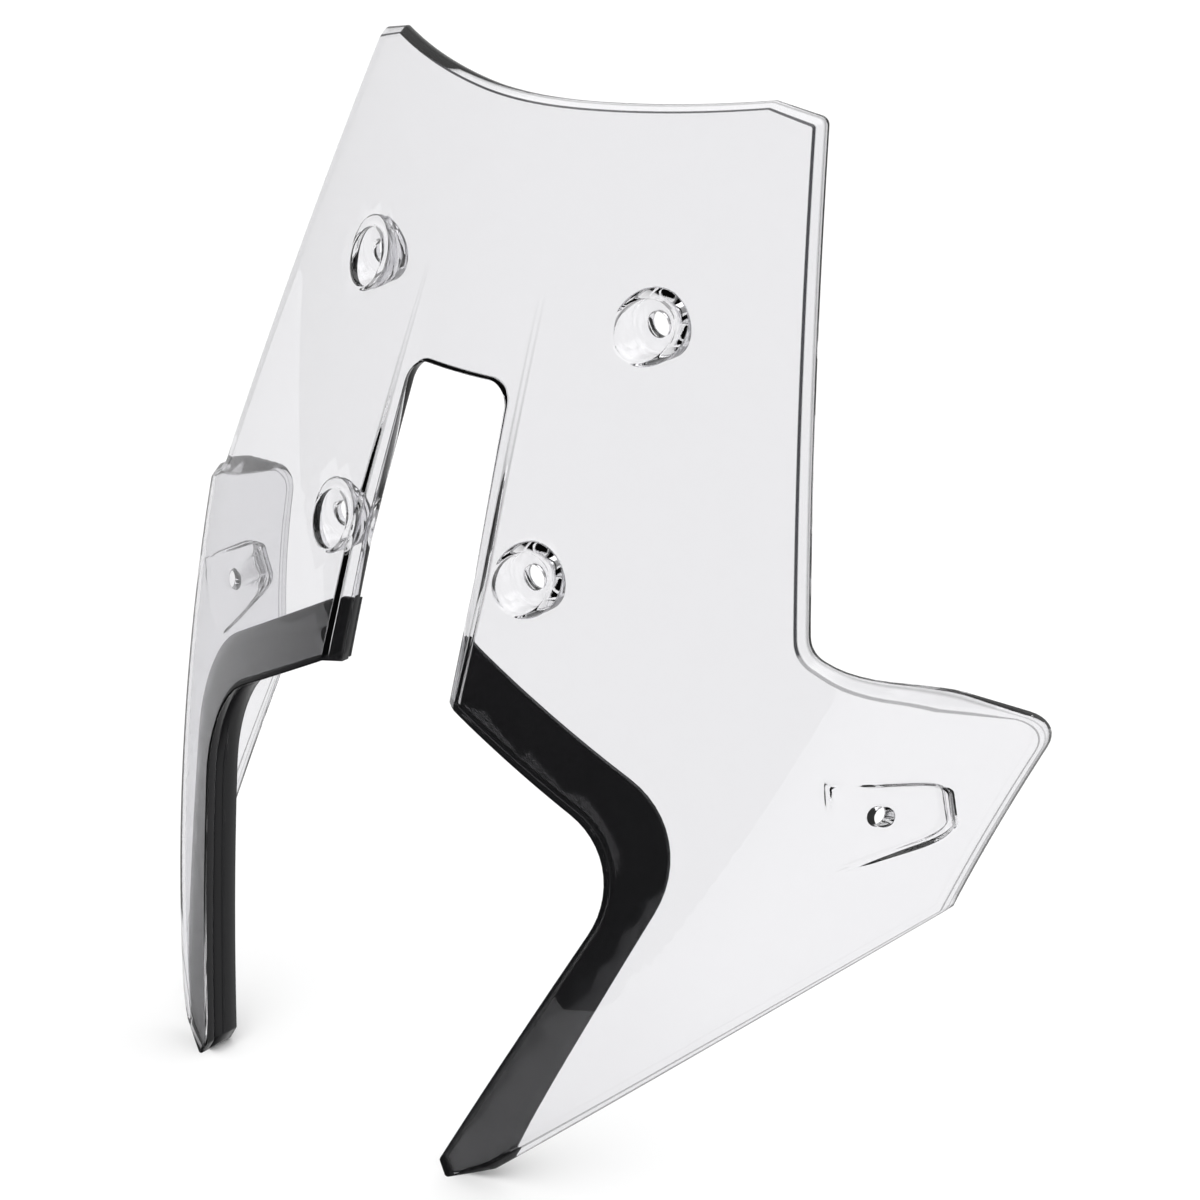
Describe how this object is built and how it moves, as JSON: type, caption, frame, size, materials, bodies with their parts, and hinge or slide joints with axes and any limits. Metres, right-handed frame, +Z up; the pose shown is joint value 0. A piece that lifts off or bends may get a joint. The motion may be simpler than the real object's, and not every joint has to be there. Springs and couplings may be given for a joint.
{
  "type": "motorcycle windshield screen",
  "caption": "Clear moulded motorcycle windshield with a creased centre channel, headlight cut-out, screw cups, swept rear wings and glossy black borders along the legs.",
  "frame": {"origin": "centre of the bounding box in X and Y, at the tips of the two feet in Z", "axes": "+X across the machine, to the right for someone who faces the front of the screen; -Y forwards, out of the front face; +Z up"},
  "size_m": [0.3846, 0.1844, 0.3655],
  "materials": {
    "clear": "clear, polished",
    "black": "gloss"
  },
  "bodies": {
    "root": {"screen": "clear", "right_border": "black", "left_border": "black"}
  },
  "joints": []
}
